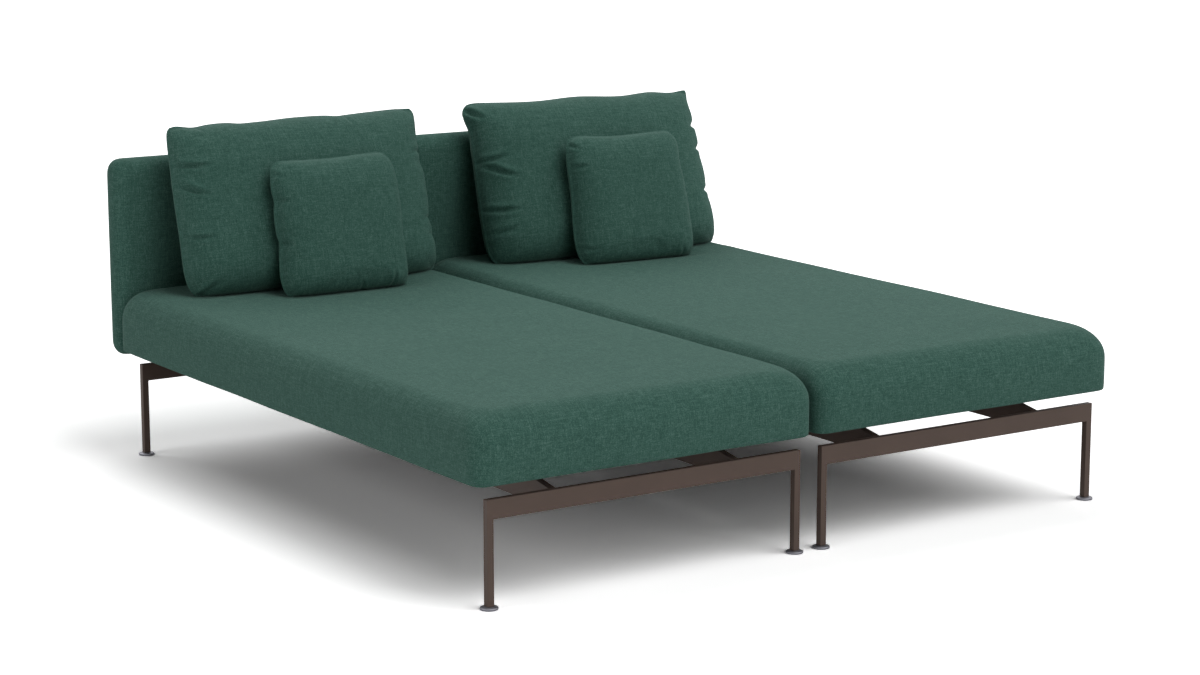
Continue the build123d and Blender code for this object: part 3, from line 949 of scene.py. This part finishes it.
# %% Forms of the four cushions
cushion_sizes = {"back": (0.680, 0.420, 0.185), "throw": (0.334, 0.333, 0.115)}
cushion_forms = {
    ("left", "back"): {
        "lean": 15.0, "turn": 2.3, "seed": 3.0, "sag": 0.12, "bluntness": 4.5, "steepness": 0.62,
        "corners": (18, 20, 20, 27),
        "left": ((-1, -0.006), (-0.85, 0.002), (-0.3, 0.004), (0.2, 0.004), (0.5, 0.002),
                 (0.9, 0.0), (1, -0.004)),
        "right": ((-1, 0.004), (-0.85, 0.006), (-0.67, 0.007), (-0.57, 0.002), (-0.48, 0.003),
                  (-0.38, -0.001), (-0.28, 0.003), (0.05, 0.006), (0.2, 0.005), (0.28, -0.001),
                  (0.45, -0.002), (0.65, 0.002), (0.88, 0.009), (1, 0.006)),
        "bottom": ((-1, 0.0), (-0.9, 0.004), (0, 0.004), (0.9, 0.004), (1, 0.0)),
        "top": ((-1, -0.004), (-0.93, -0.005), (-0.79, -0.012), (-0.67, -0.008), (-0.5, -0.008),
                (-0.43, -0.011), (-0.3, -0.011), (0.04, -0.007), (0.29, -0.009), (0.38, -0.012),
                (0.44, -0.011), (0.57, -0.009), (0.84, -0.006), (0.93, -0.005), (1, 0.0)),
        "puckers": (
            ((-0.99, 0.52), (-0.78, 0.46), 0.014, 0.0042),
            ((-0.97, 0.28), (-0.83, 0.13), 0.014, 0.0042),
            ((-0.97, -0.30), (-0.84, -0.34), 0.010, 0.0040),
            ((0.99, 0.42), (0.80, 0.38), 0.005, 0.0045),
            ((0.99, -0.37), (0.84, -0.38), 0.004, 0.0045),
            ((0.99, -0.58), (0.86, -0.56), 0.003, 0.0040),
            ((0.38, 0.97), (0.38, 0.74), 0.006, 0.0045),
            ((-0.79, 0.97), (-0.74, 0.82), 0.005, 0.0045),
            ((-0.97, -0.93), (-0.84, -0.74), -0.005, 0.0060),
            ((-0.43, 0.97), (-0.41, 0.84), 0.003, 0.0045),
        ),
    },
    ("right", "back"): {
        "lean": 20.0, "turn": -2.2, "seed": 8.0, "sag": 0.12, "bluntness": 4.5, "steepness": 0.62,
        "corners": (14, 16, 44, 24),
        "left": ((-1, -0.008), (-0.75, -0.004), (-0.1, -0.006), (0.4, -0.012), (0.7, -0.012),
                 (0.88, 0.000), (0.95, -0.006), (1, -0.014)),
        "right": ((-1, 0.002), (-0.8, 0.003), (-0.38, -0.003), (-0.32, -0.008), (-0.26, -0.003),
                  (0.1, -0.003), (0.21, -0.008), (0.32, 0.001), (0.45, -0.004), (0.52, -0.011),
                  (0.58, -0.005), (0.8, -0.004), (1, 0.001)),
        "bottom": ((-1, 0.0), (-0.9, 0.006), (0, 0.004), (0.9, 0.002), (1, 0.0)),
        "top": ((-1, 0.006), (-0.8, 0.003), (-0.35, -0.002), (0.0, 0.003), (0.42, -0.003),
                (0.65, 0.002), (0.88, -0.003), (1, 0.004)),
        "puckers": (
            ((-0.97, 0.26), (-0.78, 0.28), 0.012, 0.0048),
            ((-0.92, 0.18), (-0.74, 0.01), 0.013, 0.0048),
            ((-0.98, -0.32), (-0.76, -0.38), 0.011, 0.0048),
            ((-0.95, -0.62), (-0.78, -0.58), 0.006, 0.0055),
            ((-0.97, 0.93), (-0.87, 0.77), 0.016, 0.0055),
            ((0.99, 0.50), (0.84, 0.46), 0.007, 0.0050),
            ((0.99, 0.21), (0.84, 0.18), 0.007, 0.0050),
            ((0.99, -0.33), (0.86, -0.33), 0.006, 0.0045),
            ((0.02, 0.97), (0.00, 0.80), 0.004, 0.0060),
        ),
    },
    ("left", "throw"): {
        "lean": 14.5, "turn": 0.0, "seed": 5.0, "sag": 0.10, "bluntness": 4.5, "steepness": 0.60,
        "corners": (12, 14, 9, 11),
        "left": ((-1, 0.0), (-0.87, 0.006), (-0.3, 0.002), (-0.2, -0.001), (-0.1, 0.002),
                 (0.3, 0.001), (0.42, -0.003), (0.52, 0.0), (0.8, 0.0), (1, -0.002)),
        "right": ((-1, 0.0), (-0.8, -0.002), (-0.1, 0.003), (0.35, 0.003), (0.8, 0.0), (1, -0.003)),
        "bottom": ((-1, 0.0), (0, 0.0), (1, 0.0)),
        "top": ((-1, 0.0), (-0.5, -0.004), (0, -0.005), (0.5, -0.001), (0.85, 0.002), (1, 0.0)),
        "puckers": (
            ((0.60, -0.95), (0.62, -0.70), 0.008, 0.0040),
            ((0.12, -0.95), (0.10, -0.82), 0.006, 0.0040),
            ((-0.96, 0.80), (-0.84, 0.72), 0.005, 0.0040),
            ((-0.97, 0.42), (-0.84, 0.38), 0.006, 0.0040),
            ((-0.97, -0.20), (-0.86, -0.24), 0.005, 0.0040),
            ((0.98, 0.45), (0.86, 0.40), 0.003, 0.0045),
            ((0.98, -0.20), (0.86, -0.22), 0.003, 0.0045),
        ),
    },
    ("right", "throw"): {
        "lean": 16.8, "turn": -3.2, "seed": 11.0, "sag": 0.10, "bluntness": 4.5, "steepness": 0.60,
        "corners": (11, 12, 9, 10),
        "left": ((-1, 0.0), (-0.87, 0.006), (0.3, 0.0), (0.8, 0.0), (1, 0.0)),
        "right": ((-1, -0.004), (-0.6, -0.003), (0.1, -0.004), (0.45, -0.010), (0.8, -0.002),
                  (1, 0.0)),
        "bottom": ((-1, 0.0), (0, 0.0), (1, 0.0)),
        "top": ((-1, 0.003), (-0.8, 0.003), (-0.2, -0.004), (0.5, -0.001), (0.87, 0.002), (1, 0.0)),
        "puckers": (
            ((-0.97, 0.52), (-0.76, 0.50), 0.007, 0.0042),
            ((-0.96, 0.90), (-0.82, 0.76), 0.009, 0.0042),
            ((-0.97, -0.72), (-0.80, -0.74), 0.005, 0.0042),
            ((0.98, 0.42), (0.84, 0.36), 0.005, 0.0045),
            ((0.98, 0.05), (0.86, 0.02), 0.003, 0.0040),
            ((0.66, -0.95), (0.64, -0.82), 0.006, 0.0040),
        ),
    },
}
print("puckers in all:", sum(len(form["puckers"]) for form in cushion_forms.values()))

# %% [markdown]
# Now each cushion is stood on its seat. It leans back on what is behind it, and
# where it would go into a neighbour it is pressed flat, with a hair of space so
# that no two surfaces share a place. The seat's foam gives way a little under a
# cushion's weight, so the seat gets a shallow dent with a soft slope round it.

# %% Cushions in place
cushion_gap = 0.0004
cushion_shift = {"back": 0.046, "throw": 0.062}
cushion_press = {"back": 0.004, "throw": 0.016}
cushion_step = 0.004
settle = 0.008
sink = 0.006
slope = 0.045
flat_rim = 1.2
touch = 1e-5


def leaning(x, y, z, lean, turn):
    """Where a cushion stands: turned about Z and leaned back."""
    stand = Matrix.Translation((x, y, z)) @ Matrix.Rotation(math.radians(turn), 4, "Z")
    return stand @ Matrix.Rotation(math.radians(-lean), 4, "X")


def press_flat(piece, point, outward):
    """Presses whatever lies behind a plane back on to it."""
    inverse = piece.matrix_world.inverted()
    for vertex in piece.data.vertices:
        place = piece.matrix_world @ vertex.co
        behind = (point - place).dot(outward)
        if behind > 0:
            vertex.co = inverse @ (place + outward * behind)
    piece.data.update()


def dent(seat, cushion, turn, level):
    """Lowers the seat's top to a level under a cushion, with a soft slope round it."""
    unturn = Matrix.Rotation(math.radians(-turn), 3, "Z")
    world = [cushion.matrix_world @ v.co for v in cushion.data.vertices]
    touching = [unturn @ place for place in world if place.z < level + cushion_gap + touch]
    low = [min(place[axis] for place in touching) for axis in (0, 1)]
    high = [max(place[axis] for place in touching) for axis in (0, 1)]
    for vertex in seat.data.vertices:
        if vertex.co.z > level - slope:
            place = unturn @ vertex.co
            away = [max(low[axis] - place[axis], place[axis] - high[axis], 0) for axis in (0, 1)]
            share = min(max(flat_rim - math.hypot(*away) / slope, 0), 1)
            vertex.co.z += eased(share) * min(level - vertex.co.z, 0)
    seat.data.update()


def loose_cushion(side, kind, rest_y, rests):
    """One loose cushion, leaned back and pressed on to what it rests on."""
    size, form = cushion_sizes[kind], cushion_forms[side, kind]
    seat_low, seat_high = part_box(f"{side}_seat_cover")
    lean = math.radians(form["lean"])
    centre_x = (seat_low.x + seat_high.x) / 2 + cushion_shift[kind]
    centre_z = seat_high.z + size[1] / 2 * math.cos(lean) - settle - sink
    centre_y = rest_y(centre_x, centre_z) - size[2] / 2 / math.cos(lean) + cushion_press[kind]
    piece = sewn_cushion(f"{side}_{kind}_cushion", size, form, cushion_step)
    inflate(piece, pressure=4.0, growth=0.02, cap=0.004)
    piece.matrix_world = leaning(centre_x, centre_y, centre_z, form["lean"], form["turn"])
    bpy.context.view_layer.update()
    for point, outward in rests:
        press_flat(piece, point, outward)
    subdivided(piece)
    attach(piece, f"{side}_{kind}_cushion")
    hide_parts(f"{side}_{kind}_cushion_cover", f"{side}_{kind}_cushion_fill")
    return piece


for side in sides:
    seat_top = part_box(f"{side}_seat_cover")[1].z - sink
    back_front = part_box(f"{side}_back_cover")[0].y - cushion_gap
    on_seat = (Vector((0, 0, seat_top + cushion_gap)), Vector((0, 0, 1)))
    on_back = (Vector((0, back_front, 0)), Vector((0, -1, 0)))
    big = loose_cushion(side, "back", lambda x, z: back_front, [on_seat, on_back])
    outward = (big.matrix_world.to_3x3() @ Vector((0, -1, 0))).normalized()
    point = big.matrix_world.translation + outward * (cushion_sizes["back"][2] / 2 + cushion_gap)

    def face_y(x, z):
        return point.y - (outward.x * (x - point.x) + outward.z * (z - point.z)) / outward.y

    small = loose_cushion(side, "throw", face_y, [on_seat, (point, outward)])
    for kind, cushion in (("back", big), ("throw", small)):
        dent(seats[side], cushion, cushion_forms[side, kind]["turn"], seat_top)
        print(side, kind, "cushion at", [round(v, 3) for v in cushion.location])

# %% [markdown]
# The ground is plain and pale, and it must keep the soft shadow that seats the
# lounger. For the camera its colour is turned up until the open floor is pure
# white and only the shadow is left. All other rays see an honest white floor,
# which sends light up under the seats and on to their sides.

# %% Floor and backdrop
floor_size = 60.0
floor_seen = 1.9
floor_real = 0.95
floor_mesh = bpy.data.meshes.new("floor")
half = floor_size / 2
floor_corners = [(-half, -half, 0), (half, -half, 0), (half, half, 0), (-half, half, 0)]
floor_mesh.from_pydata(floor_corners, [], [(0, 1, 2, 3)])
floor_material = bpy.data.materials.new("white_ground")
floor_material.use_nodes = True
ground = floor_material.node_tree
ground.nodes.clear()
seen = Wire(ground).node("ShaderNodeLightPath").out("Is Camera Ray")
ground_colour = mix_colours(ground, seen, (floor_real,) * 3, (floor_seen,) * 3)
matt = Wire(ground).node("ShaderNodeBsdfDiffuse", None, {"Color": ground_colour})
Wire(ground).node("ShaderNodeOutputMaterial", None, {"Surface": matt})
floor = link_mesh("floor", floor_mesh, floor_material)

world = bpy.data.worlds.new("room")
bpy.context.scene.world = world
world.use_nodes = True
room = world.node_tree
room.nodes.clear()
path = Wire(room).node("ShaderNodeLightPath")
shown = path.out("Is Camera Ray").math("MAXIMUM", path.out("Is Glossy Ray"))
shown = shown.math("MAXIMUM", path.out("Is Transmission Ray"))
sky = Wire(room).node("ShaderNodeBackground", None, {"Color": (1, 1, 1, 1), "Strength": shown})
Wire(room).node("ShaderNodeOutputWorld", None, {"Surface": sky})
print("floor metres:", floor_size)
